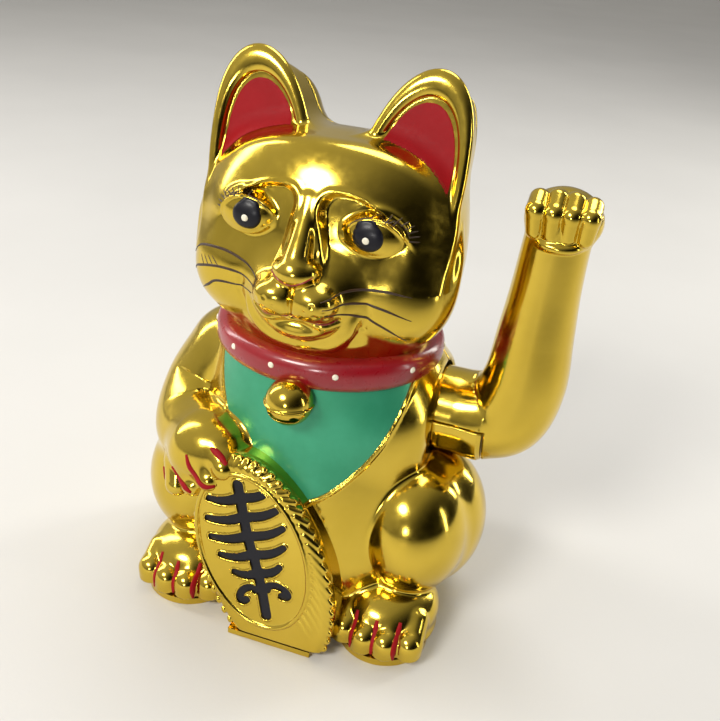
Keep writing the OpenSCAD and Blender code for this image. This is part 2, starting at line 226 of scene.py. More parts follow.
def settle(field, p, most, steps=2):
    """Draws points onto the field's zero surface and returns them with their normals."""
    for _ in range(steps):
        value, gradient = slope(field, p)
        move = -value * gradient / np.maximum((gradient ** 2).sum(0), 0.05)
        size = np.sqrt((move ** 2).sum(0))
        p = p + move * np.minimum(1, most / np.maximum(size, 1e-9))
    gradient = slope(field, p)[1]
    return p, gradient / np.maximum(np.sqrt((gradient ** 2).sum(0)), 1e-9)


BLOCK = 6                                  # cells along a block of the coarse pass


def sample(field, low, high, step):
    """The field on a grid, worked out finely only in blocks that the surface may cross."""
    blocks = np.ceil((high - low) / step / BLOCK).astype(int) + 1
    index = np.stack(np.meshgrid(*[np.arange(n) for n in blocks], indexing="ij"))
    middle = low[:, None] + (index.reshape(3, -1) + 0.5 - 0.5 / BLOCK) * BLOCK * step
    coarse = field(middle).reshape(blocks)
    value = coarse.astype(np.float32)
    for axis in range(3):
        value = value.repeat(BLOCK, axis)
    inner = np.stack(np.meshgrid(*[np.arange(BLOCK)] * 3, indexing="ij")).reshape(3, -1)
    threshold = 0.87 * BLOCK * step * 1.3 + 0.6
    active = np.argwhere(np.abs(coarse) < threshold)
    for some in np.array_split(active, max(1, len(active) // 1500)):
        at = (some.T[:, :, None] * BLOCK + inner[:, None, :]).reshape(3, -1)
        value[tuple(at)] = field(low[:, None] + at * step)
    return value


CORNERS = np.array([[i, j, k] for i in (0, 1) for j in (0, 1) for k in (0, 1)])
EDGES = [(a, b) for a in range(8) for b in range(a + 1, 8)
         if np.abs(CORNERS[a] - CORNERS[b]).sum() == 1]


def net(value):
    """Surface nets: one vertex in each cell that the surface crosses, one quad on each edge."""
    inside = value < 0
    cells = tuple(n - 1 for n in value.shape)
    count = np.zeros(cells, np.int8)
    for i, j, k in CORNERS:
        count += inside[i:i + cells[0], j:j + cells[1], k:k + cells[2]]
    crossed = np.argwhere((count > 0) & (count < 8))
    at_corner = [value[tuple((crossed + corner).T)] for corner in CORNERS]
    total = np.zeros((len(crossed), 3))
    number = np.zeros(len(crossed))
    for a, b in EDGES:
        split = (at_corner[a] < 0) != (at_corner[b] < 0)
        gap = np.where(split, at_corner[a] - at_corner[b], 1)
        t = (at_corner[a] / gap)[:, None]
        total += np.where(split[:, None], CORNERS[a] + t * (CORNERS[b] - CORNERS[a]), 0)
        number += split
    name = np.full(cells, -1, np.int32)
    name[tuple(crossed.T)] = np.arange(len(crossed))
    quads = []
    for axis in range(3):
        one, two = (axis + 1) % 3, (axis + 2) % 3
        first = [slice(1, n - 1) for n in value.shape]
        first[axis] = slice(0, value.shape[axis] - 1)
        second = list(first)
        second[axis] = slice(1, value.shape[axis])
        low, high = inside[tuple(first)], inside[tuple(second)]
        for change, order in ((low & ~high, (0, 1, 2, 3)), (high & ~low, (3, 2, 1, 0))):
            edge = np.argwhere(change)
            edge[:, one] += 1
            edge[:, two] += 1
            ring = []
            for back_one, back_two in ((1, 1), (0, 1), (0, 0), (1, 0)):
                cell = edge.copy()
                cell[:, one] -= back_one
                cell[:, two] -= back_two
                ring.append(name[tuple(cell.T)])
            quads.append(np.stack([ring[i] for i in order], 1))
    return crossed + total / number[:, None], np.concatenate(quads)


# ---- meshes ----


def new_mesh(name, points, faces, normals=None):
    """A smooth-shaded mesh object from points (N, 3) in millimetres."""
    mesh = bpy.data.meshes.new(name)
    if isinstance(faces, np.ndarray):
        mesh.vertices.add(len(points))
        mesh.vertices.foreach_set("co", (points * MM).astype(np.float32).ravel())
        mesh.loops.add(faces.size)
        mesh.loops.foreach_set("vertex_index", faces.astype(np.int32).ravel())
        mesh.polygons.add(len(faces))
        mesh.polygons.foreach_set("loop_start", np.arange(0, faces.size, faces.shape[1]))
        mesh.update(calc_edges=True)
    else:
        mesh.from_pydata([tuple(point * MM) for point in points], [], faces)
    mesh.polygons.foreach_set("use_smooth", np.ones(len(mesh.polygons), bool))
    mesh.validate()
    if normals is not None:
        mesh.normals_split_custom_set_from_vertices(normals)
    obj = bpy.data.objects.new(name, mesh)
    bpy.context.scene.collection.objects.link(obj)
    return obj


def sculpt(name, field, low, high, step, finish, body, nodes=()):
    """Meshes a field between two corners and makes it a piece."""
    low, high = np.array(low, float), np.array(high, float)
    step = step * COARSE
    points, quads = net(sample(field, low, high, step))
    points = low + points * step
    points, normals = settle(field, points.T, step * 0.6)
    obj = new_mesh(name, points.T, quads, normals.T)
    return piece(obj, finish, body, nodes)


def piece(obj, finish, body, nodes=()):
    finishes = finish if isinstance(finish, (list, tuple)) else [finish]
    for one in finishes:
        obj.data.materials.append(one)
    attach(obj, body)
    if nodes:
        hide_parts(*nodes)
    return obj


def gather(parts):
    """Several (points, faces) made one."""
    points, faces, start = [], [], 0
    for some_points, some_faces in parts:
        points.append(some_points)
        faces += [tuple(start + i for i in face) for face in some_faces]
        start += len(some_points)
    return np.concatenate(points), faces


def drop(field, points, start=9.0, pace=0.75, steps=70):
    """Points moved back by start and then along +Y until they meet the field's surface."""
    p = points - np.array([[0.0], [start], [0.0]])
    for _ in range(steps):
        p[1] += pace * np.maximum(field(p), -1)
    gradient = slope(field, p, 0.15)[1]
    return p, gradient / np.maximum(np.sqrt((gradient ** 2).sum(0)), 1e-9)


def stroke(field, points, width, ends=(0.25, 0.25), lift=0.16, count=28, sides=8):
    """A brush stroke that lies on the field's surface: a low rounded band with closed ends."""
    path, normals = drop(
        field, on_curve(spread(points), np.linspace(0, len(points) - 1, count))[0].T)
    path, normals = path.T, normals.T
    along = np.gradient(path, axis=0)
    along /= np.linalg.norm(along, axis=1)[:, None]
    across = np.cross(normals, along)
    t = np.linspace(0, 1, count)
    swell = np.minimum(1, np.minimum(ends[0] + (1 - ends[0]) * t / 0.3,
                                     ends[1] + (1 - ends[1]) * (1 - t) / 0.3))
    half = width / 2 * swell
    rings = []
    for s in range(sides):
        a = 2 * pi * s / sides
        rings.append(path + across * (half * cos(a))[:, None] + normals * (lift * sin(a)))
    points = np.stack(rings, 1).reshape(-1, 3)
    faces = [(i * sides + s, i * sides + (s + 1) % sides, (i + 1) * sides + (s + 1) % sides,
              (i + 1) * sides + s) for i in range(count - 1) for s in range(sides)]
    faces.append(tuple(reversed(range(sides))))
    faces.append(tuple(range((count - 1) * sides, count * sides)))
    return points, faces


def spot(field, centre, radius, lift=0.25, rings=7, sides=40):
    """A round dab of paint on the field's surface, domed and closed underneath."""
    middle, normal = settle(field, np.array(centre, float)[:, None], 4.0, 5)
    middle, normal = middle[:, 0], normal[:, 0]
    right = np.cross((0, 0, 1), normal)
    right /= np.linalg.norm(right)
    up = np.cross(normal, right)
    levels = [(r / rings, lift * (1 - (r / rings) ** 6)) for r in range(1, rings + 1)]
    levels.append((0.97, -0.4))
    flat = [middle]
    height = [lift]
    for share, rise in levels:
        for s in range(sides):
            a = 2 * pi * s / sides
            flat.append(middle + radius * share * (right * cos(a) + up * sin(a)))
            height.append(rise)
    flat = np.array(flat)
    on, normals = settle(field, flat.T, 3.0, 4)
    points = on.T + normals.T * np.array(height)[:, None]
    faces = [(0, 1 + s, 1 + (s + 1) % sides) for s in range(sides)]
    for r in range(len(levels) - 1):
        a, b = 1 + r * sides, 1 + (r + 1) * sides
        faces += [(a + s, b + s, b + (s + 1) % sides, a + (s + 1) % sides) for s in range(sides)]
    last = 1 + (len(levels) - 1) * sides
    faces.append(tuple(last + s for s in reversed(range(sides))))
    return points, faces


def coat(base, region, lift, under=0.5, edge=0.25):
    """A skin of paint: the field of a thin shell over the base, kept to a region."""
    def field(p):
        d = base(p)
        return soft_max(np.maximum(d - lift, -d - under), region(p), edge)
    return field


# ---- head ----

EAR_INNER = (58.9, 134.7, 53.2)            # circle of the inner side: X, Z and radius
EAR_OUTER = (-69.7, 145.6, 107.3)          # circle of the outer side
EAR_TIP_BLEND = 24.2                       # rounds the tip where the two circles meet
EAR_FACE_Y = -8.2                          # front of the ear at its tip
EAR_LEAN = 0.27                            # the ear's front comes forward towards its root
EAR_THICK = 5.5                            # front to back at the tip
EAR_BACK = 1.5                             # the ear's back runs back this far per mm down
EAR_LAST_Y = 11.0                          # the ear's back runs into the skull here
EAR_RIM = 1.75                             # radius of the round rim
EAR_DEPTH = 1.7                            # the painted face lies this far behind the front
TIP_Z = 168.1                              # top of the ears


def arch(x, z):
    """Distance to the ear's outline, two arcs that meet in a rounded tip."""
    inner, outer = (np.hypot(x - cx, z - cz) - r for cx, cz, r in (EAR_INNER, EAR_OUTER))
    return soft_max(inner, outer, EAR_TIP_BLEND)


def ear_depth(p):
    """How far a point lies behind the sloping plane of the ear's front."""
    return p[1] - EAR_FACE_Y + EAR_LEAN * (TIP_Z - p[2])


def ear_plate(p):
    x, y, z = p
    depth = ear_depth(p)
    narrowing = arch(x, z) + 1.0 + 0.05 * np.maximum(depth - 1, 0)
    narrowing += 0.016 * np.maximum(depth - 13, 0) ** 2
    back = (y - (EAR_FACE_Y + EAR_THICK + EAR_BACK * (TIP_Z - z))) * 0.6
    back = soft_max(back, y - EAR_LAST_Y, 6.0)
    return soft_max(soft_max(narrowing, (EAR_DEPTH - depth) * 0.96, 1.2), back, 3.0)


def ear_rim(p):
    return np.hypot(arch(p[0], p[2]) + EAR_RIM, (ear_depth(p) - 0.9) * 0.96) - EAR_RIM


EAR_PLACE = (np.array([[23.0], [2.0], [152.0]]), 25.0)

HEAD_MIDDLE = (0, -6.5, 119)
HEAD_HALF = (39.3, 29.5)                   # half width; half depth
HEAD_UP, HEAD_DOWN = 33.2, 37.0
FACE_FLARE = 42.0                          # half width of the face's bulge, wider than the head
FACE_TALL = 41                             # half height of that bulge
HEAD_SQUARE = 2.55                         # 2 would make the head's outline an ellipse
JAW_TAPER = 0.07                           # the head narrows this much per mm down
BACK_NARROWS = 0.0085                      # how fast the sides come in behind the ridge
RIDGE_ROUND = 2.6                          # blend between the face and the sides
RIDGE_Y = -13                              # the cheek ridge; the head narrows behind it
NECK = (30.4, 26.4)                        # half width and half depth inside the collar
EYE_AT = np.array([17.5, -29.9, 130.7])
EYE_TURN = (0, 5, 21)
EYE_HALF = (8.4, 5.1)                      # half length and half height of the almond
eye_back = turned(EYE_TURN).T
eye_dome = egg(EYE_AT + (1.4, 5.2, 0), (11.4, 8.8, 8.4), EYE_TURN)


def ease(t):
    """Rises smoothly from 0 at t = 0 to 1 at t = 1."""
    t = np.clip(t, 0, 1)
    return t * t * (3 - 2 * t)


def bell_curve(t):
    return np.exp(-t * t)


def line_gap(u, v, points):
    """Distance in a plane to a line through the points, less the line's half width there."""
    gap = np.full(u.shape, 99.0)
    for (au, av, ar), (bu, bv, br) in zip(points, points[1:]):
        eu, ev = bu - au, bv - av
        t = np.clip(((u - au) * eu + (v - av) * ev) / (eu * eu + ev * ev), 0, 1)
        gap = np.minimum(gap, np.hypot(u - au - t * eu, v - av - t * ev) - ar - t * (br - ar))
    return gap


def head_block(p):
    """The plain head: a bulging face that meets the narrowing sides along a cheek ridge."""
    z = p[2] - HEAD_MIDDLE[2]
    x = p[0] / (HEAD_HALF[0] + JAW_TAPER * np.minimum(z, 0))
    z = np.where(z > 0, z / HEAD_UP, z / HEAD_DOWN)
    x, z = np.abs(x), np.abs(z)
    k = (x ** HEAD_SQUARE + z ** HEAD_SQUARE) ** (1 / HEAD_SQUARE) + 1e-9
    steep = np.hypot((x / k) ** (HEAD_SQUARE - 1) / HEAD_HALF[0],
                     (z / k) ** (HEAD_SQUARE - 1) / HEAD_UP)
    sides = (k - 1) / steep + BACK_NARROWS * np.maximum(p[1] - RIDGE_Y, 0) ** 2
    bulge = egg(HEAD_MIDDLE, (FACE_FLARE, HEAD_HALF[1], FACE_TALL))[0](p)
    return soft_max(sides, bulge, RIDGE_ROUND)


def neck(p):
    return soft_max(oval(p[0], p[1] - COLLAR_AT[1], NECK), np.abs(p[2] - 88) - 7, 3.0)


BRIDGE_TOP, BRIDGE_HALF, BRIDGE_GROWS = 136, 2.7, 0.2      # nose bridge between the eyes
BROW_AT, BROW_BEND = (8, 141.3), 0.03                      # crown of the brow: X and Z
SOCKET_DEPTH = 2.7                                         # how far the eye sockets are sunk


def socket_edge(x, z):
    """Distance to the edge of the sunk eye socket, under the brow and beside the nose."""
    bridge = BRIDGE_HALF + BRIDGE_GROWS * (BRIDGE_TOP - z) - x
    brow = z - BROW_AT[1] + BROW_BEND * (x - BROW_AT[0]) ** 2
    return soft_max(bridge, brow, 5.0)


def socket(p):
    """How far the face is sunk round the eyes: sharp above and inside, soft below."""
    x, z = p[0], p[2]
    sunk = ease(-socket_edge(x, z) / 2.2) * ease((z - 113) / 15) * (1 - ease((x - 20) / 10))
    return SOCKET_DEPTH * sunk * ease((-12 - p[1]) / 8)


def almond(p):
    """Distance in the eye's own plane to its outline."""
    q = eye_back @ (p - EYE_AT[:, None])
    half, tall = EYE_HALF
    radius = (half ** 2 + tall ** 2) / (2 * tall)
    shift = radius - tall
    return soft_max(np.hypot(q[0], q[2] + shift), np.hypot(q[0], q[2] - shift), 2.4) - radius


def eyeball(p):
    return soft_max(eye_dome[0](p), almond(p), 0.5)


eye_reach = (EYE_AT[:, None], 11.0)

MOUTH = [(0, 108.8, 0), (3, 107.4, 0), (6.4, 106.6, 0), (9.6, 106.8, 0), (12, 108, 0)]
SMILE = [(17.6, 104.6, 0), (19, 108.6, 0), (18.4, 112.4, 0)]


def creases(p):
    """Fine relief of the face: how far each line or bead stands above the surface."""
    x, z = p[0], p[2]
    face = ease((-16 - p[1]) / 6)
    edge = socket_edge(x, z)
    high = ease((z - 131) / 5) * (1 - ease((x - 26) / 6))
    rise = 0.45 * bell_curve((edge - 0.1) / 0.8) * high
    eye = almond(p)
    q = eye_back @ (p - EYE_AT[:, None])
    near_eye = 1 - ease((q[1] - 2) / 3)
    above = ease((q[2] + 0.5) / 3)
    near_eye = near_eye * (1 - ease((np.abs(q[0]) - EYE_HALF[0]) / 1.6))
    rise += 0.5 * bell_curve((eye - 2.6) / 0.8) * above * ease((q[0] + 7) / 5) * near_eye
    rise += (0.3 + 0.25 * above) * bell_curve((eye - 0.3) / 0.6) * near_eye
    rise -= 0.75 * bell_curve(line_gap(x, z, MOUTH) / 0.75)
    rise -= 0.45 * bell_curve(line_gap(x, z, SMILE) / 1.1)
    rise -= 0.6 * bell_curve(x / 0.8) * ease((118 - z) / 2) * ease((z - 108) / 2)
    for at_x, at_z in ((4.4, 111.6), (6.8, 113.6), (7.4, 110.6), (9.6, 112.4), (9.8, 109.8)):
        rise -= 0.3 * bell_curve(np.hypot(x - at_x, z - at_z) / 0.6)
    return rise * face


def head(p):
    clay = Clay(p, lambda q: head_block(q) + socket(q), mirrored=True)
    clay.join((neck, np.array([[0.0], [COLLAR_AT[1]], [88.0]]), 31.0), 4.0)
    clay.join((ear_plate, *EAR_PLACE), 6.0)
    clay.join((ear_rim, *EAR_PLACE), 0.6)
    clay.join(rod((34.4, -12.6, 136), 1.7, (35, -13.2, 132.4), 1.5), 1.0)     # end of the rim
    clay.join(limb([(35.8, -13.8, 132, 2.1), (37.1, -15.6, 124, 2.9), (36.6, -16.8, 116, 3.2),
                    (34, -17.2, 108, 3.5), (30, -18.2, 101, 3.4), (24.4, -19.2, 95.6, 2.8)]), 1.0)
    clay.join(egg((25, -21, 110), (12, 9.6, 11.5)), 8.0)                      # cheek
    clay.join(egg((0, -30.6, 110.4), (15.5, 12.2, 12.4)), 5.0)                # muzzle
    clay.join(limb([(0, -30.8, 137.5, 2.3), (0, -33.1, 133.5, 2.7), (0, -35.7, 129.5, 3.0),
                    (0, -38.2, 125.4, 3.5), (0, -39.8, 122, 4.2)]), 2.0)      # nose
    clay.join(egg((0, -40, 120.9), (5.9, 5.1, 3.7)), 1.4)
    clay.join(egg((4.1, -39.2, 121.1), (2.5, 3.4, 2.6)), 1.0)
    clay.join((eyeball, *eye_reach), 0.5)
    clay.join(egg((5.4, -39.4, 113), (6.4, 5.4, 4.9)), 2.6)                   # whisker pad
    clay.cut(egg((0, -46, 104.2), (11.5, 8.4, 3.4)), 1.6)                     # open smile
    clay.join(egg((0, -35.6, 103.4), (8.2, 3.2, 2.2)), 0.8)                   # lower lip
    clay.join(egg((0, -26, 99), (18, 9.2, 7.5)), 3.0)
    clay.join(limb([(-1, -33.0, 97.6, 3.3), (7.8, -32.8, 98.6, 3.1), (12.4, -33.4, 102.2, 2.7),
                    (14.8, -33.4, 106.6, 2.0), (15.2, -31.6, 109.6, 1.4)]), 1.4)    # chin
    clay.d = clay.d - creases(clay.p)
    return clay.d


# ---- body ----

TORSO = np.array([(2, -3, 45, 40), (25, -3, 48, 42), (50, -2.5, 44, 39),
                  (70, -3.5, 39.5, 34.5), (84, -6.5, 34, 30), (100, -6.5, 31, 27)], float)


def torso(p):
    x, y, z = p
    fine_z = np.linspace(0, 110, 221)
    table = np.stack([np.interp(fine_z, TORSO[:, 0], TORSO[:, i]) for i in (1, 2, 3)])
    window = np.hanning(25)
    window /= window.sum()
    table = np.stack([np.convolve(np.pad(row, 12, mode="edge"), window, "valid") for row in table])
    middle, rx, ry = (np.interp(z, fine_z, row) for row in table)
    u, v = x / rx, (y - middle) / ry
    k = np.hypot(u, v) + 1e-9
    steep = np.hypot(u / k / rx, v / k / ry)
    return (k - 1) / steep * 0.95


RESTING_ARM = [(-32.5, -5, 73, 15.6), (-39.6, -10, 60, 14.9), (-38, -23, 53.5, 13.3),
               (-28, -34, 56, 11.5)]
PAW = egg((-26, -38.2, 56), (13.4, 10.4, 10.2), (0, -25, 0))
FINGERS = [((-20.8, -41.6, 59.5), (-17.2, -46.2, 56.6)),        # root and tip
           ((-26.2, -42, 56.2), (-21.6, -46.8, 51.6)),
           ((-31.6, -40.8, 52), (-28, -44.8, 46.6)),
           ((-37, -37, 47.6), (-35.8, -40.8, 41.6))]
FOOT_X, FOOT_Y = 34, -31
COIN_AT = np.array([-2, -47.4, 27])
COIN_HALF = (20.5, 37)
COIN_FACE = 4.6                            # the coin's front above its own middle plane
coin_turn = turned((83, 0, 0)) @ turned((0, 0, 23))
TAIL = [(14, 32.4, 6.4, 6), (26, 32.6, 12, 5.5), (34, 26, 22, 5), (36, 22, 31, 4.5)]


def oval(u, v, half):
    """Distance in the plane to an ellipse."""
    k = np.hypot(u / half[0], v / half[1]) + 1e-9
    steep = np.hypot(u / half[0] ** 2, v / half[1] ** 2) / k
    return (k - 1) / steep


def in_coin(p):
    return coin_turn.T @ (p - COIN_AT[:, None])


def coin_core(p):
    """The coin's place in the body, a little inside the coin's own skin."""
    u, v, w = in_coin(p)
    half = (COIN_HALF[0] - 0.8, COIN_HALF[1] - 0.8)
    return soft_max(soft_max(oval(u, v, half), w - COIN_FACE + 2.6, 2.4), -w - 8, 1)


COIN_REACH = (COIN_AT[:, None], 38.0)

BIB_RIGHT, BIB_LEFT = (-18.5, 90, 49.8), (18.5, 90, 46.8)     # circles: X, Z and radius


def bib_outline(p):
    sides = (np.hypot(p[0] - cx, p[2] - cz) - r for cx, cz, r in (BIB_RIGHT, BIB_LEFT))
    return soft_max(*sides, 8.0)


def bib_area(p):
    return np.maximum(np.maximum(bib_outline(p) + 0.4, p[1] + 9), p[2] - NECK_Z + 1)


def chest(p):
    """Torso and left shoulder, the surface that the bib lies on."""
    clay = Clay(p, torso)
    clay.join(egg((18, PIVOT_Y, PIVOT_Z - 1), (25, 30, 23)), 7.0)
    return clay


def chest_surface(p):
    return chest(p).d


def body(p):
    clay = chest(p)
    bead = np.hypot(bib_outline(p) - 0.5, clay.d + 0.15) - 0.6
    bead = np.maximum(bead, p[1] + 8)
    clay.d = soft_min(clay.d, bead, 0.4)
    sliced = soft_max(SHOULDER_X - p[0], SHOULDER_FLOOR - p[2], 14.0)
    clay.d = soft_max(clay.d, -sliced, 1.6)
    clay.cut(tube_x(PIVOT_Y, PIVOT_Z, SOCKET_R, SHOULDER_X - SOCKET_DEEP, 70), 0.5)
    for side in (-1, 1):
        clay.join(egg((37.8 * side, -9, 31), (19.8, 21, 25)), 2.5)
        clay.join(egg((36.6 * side, -20.6, 33.4), (17.6, 19, 22.4)), 1.6)
        clay.join(egg((FOOT_X * side, FOOT_Y + 1.6, 9), (15.8, 16.6, 10.2)), 1.8)
        clay.join(egg((FOOT_X * side, FOOT_Y + 1, 3), (15.8, 16.8, 8)), 1.5)
        for i in (-1.5, -0.5, 0.5, 1.5):
            x, y = FOOT_X * side + 7 * i, FOOT_Y - 15.2 + 1.5 * abs(i) ** 1.5
            clay.join(rod((x, y, 6.4), 4.3, (x * 0.97 + FOOT_X * side * 0.03, y + 6.5, 10.6), 4.4),
                      0.8)
            clay.join(rod((x, y, 7), 4.3, (x, y - 0.3, 1.5), 4.3), 0.8)
    clay.join(limb(RESTING_ARM), 3.0)
    clay.join((coin_core, *COIN_REACH), 0.8)
    clay.join(PAW, 4.0)
    for root, tip in FINGERS:
        clay.join(rod(root, 5.0, tip, 3.9), 1.5)
    clay.join(limb(TAIL), 1.4)
    clay.d = soft_max(clay.d, SKIN_BOTTOM + 0.35 - p[2], 1.0)
    return clay.d


# ---- coin ----

BORDER_AT, BORDER_HALF = (-1.4, 5.5), (16.8, 26.0)    # raised line round the ornament
ENGRAVED = 0.9                                        # depth of the ornament's lines
RIBS = 24


def coin_shape(p):
    q = in_coin(p)
    u, v, w = q
    edge = oval(u, v, COIN_HALF)
    slab = soft_max(soft_max(edge + 0.25 * np.maximum(w, 0), w - COIN_FACE, 2.4), -w - 7, 1)
    border = oval(u - BORDER_AT[0], v - BORDER_AT[1], BORDER_HALF)
    drawn = ornament(u, v)
    slab = soft_max(slab, np.minimum(-drawn, w - COIN_FACE + ENGRAVED), 0.25)
    slab = soft_min(slab, np.hypot(drawn - 0.15, w - COIN_FACE) - 0.3, 0.25)
    slab = soft_min(slab, np.hypot(border - 0.3, w - COIN_FACE) - 0.6, 0.4)
    clay = Clay(q, lambda _: slab)
    for i in range(RIBS):
        a = radians(86 - 150 * i / (RIBS - 1))
        inner = (BORDER_AT[0] + (BORDER_HALF[0] + 1.9) * cos(a),
                 BORDER_AT[1] + (BORDER_HALF[1] + 1.9) * sin(a))
        outer = ((COIN_HALF[0] - 0.7) * cos(a * 0.97), (COIN_HALF[1] - 0.7) * sin(a * 0.97))
        clay.join(rod((*inner, COIN_FACE - 0.8), 0.9, (*outer, COIN_FACE - 2.0), 1.25), 0.7)
    for i in range(11):
        a = radians(146 + 62 * i / 10)
        place = ((COIN_HALF[0] - 1.3) * cos(a), (COIN_HALF[1] - 1.3) * sin(a), COIN_FACE - 0.4)
        clay.join(egg(place, (0.8, 1.3, 0.6)), 0.3)
    return soft_max(clay.d, SKIN_BOTTOM + 0.35 - p[2], 0.6)


SPRIG_STEM = [(1.6, 28), (0.4, 20), (-0.8, 11), (-1.2, 2), (-2, -7), (-3.4, -16)]


def sprig_strokes():
    """A plain leafy sprig for the coin: stem, paired leaves, and two curls. (u, v, width)."""
    stem = on_curve(spread(SPRIG_STEM), np.linspace(0, len(SPRIG_STEM) - 1, 22))[0]
    yield [(u, v, 1.8) for u, v in stem]
    for i in range(5):
        v = 24 - 6.3 * i
        u = float(np.interp(v, stem[::-1, 1], stem[::-1, 0]))
        long = 12.4 - 0.8 * (i - 1.6) ** 2
        for side in (-1, 1):
            yield [(u + side * long * t, v - 3.2 * t + 4.2 * t * t, 1.75 - 0.6 * t * t)
                   for t in np.linspace(0, 1, 7)]
    for side in (-1, 1):
        yield [(-2.2 + side * (6.1 - 4.1 * (1 - 0.15 * a) * cos(a)),
                -9 + 3.6 * (1 - 0.15 * a) * sin(a + 0.5), 1.3) for a in np.linspace(0, 4.7, 16)]


def ornament(u, v):
    """Distance in the coin's plane to the sprig, kept inside the raised line."""
    drawn = np.minimum.reduce([line_gap(u, v, line) for line in sprig_strokes()])
    kept = oval(u - BORDER_AT[0], v - BORDER_AT[1], BORDER_HALF) + 1.1
    return soft_max(drawn, kept, 0.6)


def sprig(p):
    """The paint that fills the engraved ornament."""
    u, v, w = in_coin(p)
    return soft_max(ornament(u, v) - 0.12, np.abs(w - COIN_FACE + ENGRAVED) - 0.55, 0.3)


# ---- collar and bell ----

COLLAR_AT = (0, -6.8, 88.7)
COLLAR_R, COLLAR_FLAT = 31.5, 0.888        # the collar is a ring flattened front to back
COLLAR_HALF = (4.3, 4.9)
DOT_ANGLES = (-150, -112, -72, -36, -11, 20, 60, 98, 135, 172)


def collar(p):
    out = np.hypot(p[0], (p[1] - COLLAR_AT[1]) / COLLAR_FLAT) - COLLAR_R
    a, b = np.abs(out / COLLAR_HALF[0]), np.abs((p[2] - COLLAR_AT[2]) / COLLAR_HALF[1])
    k = (a ** 2.5 + b ** 2.5) ** 0.4 + 1e-9
    steep = np.hypot((a / k) ** 1.5 / COLLAR_HALF[0], (b / k) ** 1.5 / COLLAR_HALF[1])
    return (k - 1) / steep * 0.9


def bell(p):
    x, y, z = (p[i] - BELL_AT[i] for i in range(3))
    d = np.sqrt(x * x + y * y + z * z) - BELL_R + 0.15
    d = soft_min(d, np.hypot(np.hypot(x, y) - BELL_R + 0.1, z) - 0.42, 0.35)
    d = soft_max(d, p[1] - BELL_HIGH[1], 0.4)
    slot = np.maximum(np.maximum(np.abs(z + 3.1) - 0.5, np.abs(x) - 3.6), y)
    holes = np.hypot(np.abs(x) - 3.6, z + 2.6) - 1.05
    return soft_max(d, -np.maximum(soft_min(slot, holes, 0.3), np.hypot(x, z) - BELL_R)
                    + np.maximum(y + 2.4, 0), 0.25)


SEAM_GAP = 0.14                            # half the fine groove between the two shells


def front_half(field):
    return lambda p: soft_max(field(p), p[1] - SEAM_Y + SEAM_GAP, 0.5)


def rear_half(field):
    return lambda p: soft_max(field(p), SEAM_Y + SEAM_GAP - p[1], 0.5)


def above_neck(field):
    return lambda p: np.maximum(field(p), NECK_Z - p[2])


def below_neck(field):
    return lambda p: np.maximum(field(p), p[2] - NECK_Z)


# ---- waving arm ----

ARM_R = 13.5                               # radius of the arm where it turns in the shoulder
ARM_PATH = [(50, -2.2, 67.8, 13.5), (57.4, -2.6, 72.2, 13.5), (61.2, -3, 84, 12.6),
            (61.9, -3.4, 100, 11.2), (62.4, -4, 114, 10), (63, -5, 127, 9.4),
            (63.6, -5.5, 135, 9.2)]
CUFF = [(56.8, -9.4, 131.6, 1.1), (60, -13.2, 131, 1.3), (64, -14.4, 130.8, 1.3),
        (68, -13.2, 131, 1.3), (71, -9.4, 131.6, 1.1)]


def arm(p):
    clay = Clay(p, tube_x(PIVOT_Y, PIVOT_Z, ARM_R, ARM_ROOT_X, 51)[0])
    clay.join(limb(ARM_PATH), 2.0)
    clay.join(egg((63.8, -5.4, 136.2), (10.8, 8.2, 9)), 1.2)
    for i in (-1.5, -0.5, 0.5, 1.5):
        x, y = 63.8 + 4.75 * i, -13.8 + 0.7 * abs(i)
        clay.join(rod((x, y + 4.2, 143.2 - 0.9 * abs(i)), 2.8, (x, y, 139.8), 2.9), 0.45)
        clay.join(rod((x, y, 139.8), 2.9, (63.8 + 4.5 * i, y + 0.9, 134), 2.4), 0.3)
    clay.join(limb(CUFF), 0.7)
    clay.cut(tube_x(PIVOT_Y, PIVOT_Z, ARM_R - 1.4, ARM_ROOT_X - 2, ARM_ROOT_X + 2.8), 0.4)
    return clay.d


COVER_GAP = 0.16                           # half the groove round the arm's under cover


def cover_zone(p):
    return np.maximum(p[0] - COVER_END_X, p[2] - COVER_TOP_Z)


def arm_upper(p):
    return soft_max(arm(p), COVER_GAP - cover_zone(p), 0.45)


def arm_lower(p):
    return soft_max(arm(p), COVER_GAP + cover_zone(p), 0.45)


# ---- materials ----


def material(name):
    made = bpy.data.materials.new(name)
    made.use_nodes = True
    tree = made.node_tree
    return made, tree, tree.nodes["Principled BSDF"]


def node(tree, kind, **sockets):
    made = tree.nodes.new(kind)
    for key, value in sockets.items():
        made.inputs[key.replace("_", " ")].default_value = value
    return made


def coordinates(tree, kind="Object"):
    return tree.nodes.new("ShaderNodeTexCoord").outputs[kind]


def vector_math(tree, operation, a, b):
    """Two vectors worked together; b is a socket or a fixed vector."""
    made = tree.nodes.new("ShaderNodeVectorMath")
    made.operation = operation
    tree.links.new(a, made.inputs[0])
    if isinstance(b, bpy.types.NodeSocket):
        tree.links.new(b, made.inputs[1])
    else:
        made.inputs[1].default_value = b
    return made.outputs["Value" if operation == "DOT_PRODUCT" else "Vector"]


def noise(tree, scale, detail=3.0, roughness=0.5):
    """Noise in object coordinates; scale is in cells per metre."""
    made = node(tree, "ShaderNodeTexNoise", Scale=scale, Detail=detail, Roughness=roughness)
    tree.links.new(coordinates(tree), made.inputs["Vector"])
    return made.outputs["Fac"]


